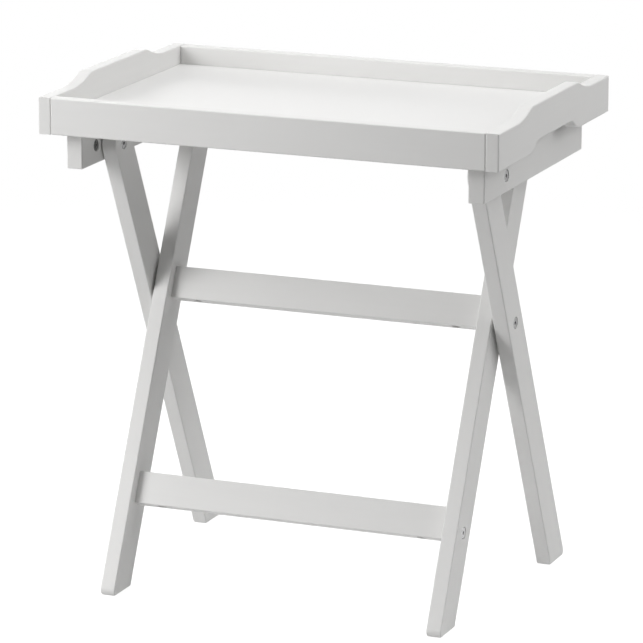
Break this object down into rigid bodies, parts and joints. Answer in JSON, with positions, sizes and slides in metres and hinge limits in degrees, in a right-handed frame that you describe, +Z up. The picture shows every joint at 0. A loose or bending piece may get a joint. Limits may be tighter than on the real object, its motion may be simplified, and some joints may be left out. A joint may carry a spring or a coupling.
{
  "type": "tray table",
  "caption": "Folding tray table: a shallow painted wooden tray with raised hand-grip ends, on runners carried by crossed legs that fold together.",
  "frame": {"origin": "on the floor, at the centre of the outside box", "axes": "+X along the tray's length to the right, +Y across the tray to the back, +Z up; the feet of the inner legs are at the front (-Y)"},
  "size_m": [0.58, 0.388, 0.6235],
  "materials": {
    "painted_wood": "satin white paint",
    "painted_panel": "satin white paint",
    "zinc_steel": "zinc plated",
    "nylon": "matte",
    "bare_wood": "bare, fluted"
  },
  "bodies": {
    "inner_frame": {"left_inner_leg": "painted_wood", "right_inner_leg": "painted_wood", "upper_stretcher": "painted_wood", "lower_stretcher": "painted_wood", "cross_pivot_bolts": "zinc_steel", "cross_pivot_washers": "nylon", "upper_barrel_nuts": "zinc_steel", "lower_stretcher_bolts": "zinc_steel", "lower_barrel_nuts": "zinc_steel", "stretcher_dowels": "bare_wood"},
    "outer_legs": {"left_outer_leg": "painted_wood", "right_outer_leg": "painted_wood"},
    "tray": {"tray_front_rail": "painted_wood", "tray_back_rail": "painted_wood", "tray_left_end": "painted_wood", "tray_right_end": "painted_wood", "tray_base_panel": "painted_panel", "tray_corner_dowels": "bare_wood", "left_runner": "painted_wood", "right_runner": "painted_wood", "runner_cam_locks": "zinc_steel", "runner_cam_bolts": "zinc_steel", "tray_pivot_bolts": "zinc_steel", "tray_pivot_sleeve_nuts": "zinc_steel", "tray_pivot_washers": "nylon", "left_rest_block": "painted_wood", "right_rest_block": "painted_wood", "rest_block_screws": "zinc_steel"}
  },
  "joints": [
    {"name": "leg_fold", "type": "hinge", "parent": "inner_frame", "child": "outer_legs", "pos_m": [0, 0, 0.34233], "axis": [-1, 0, 0], "range_deg": [0, 51.4]},
    {"name": "tray_lift", "type": "hinge", "parent": "outer_legs", "child": "tray", "pos_m": [0, -0.09627, 0.54236], "axis": [1, 0, 0], "range_deg": [0, 115.7]}
  ]
}
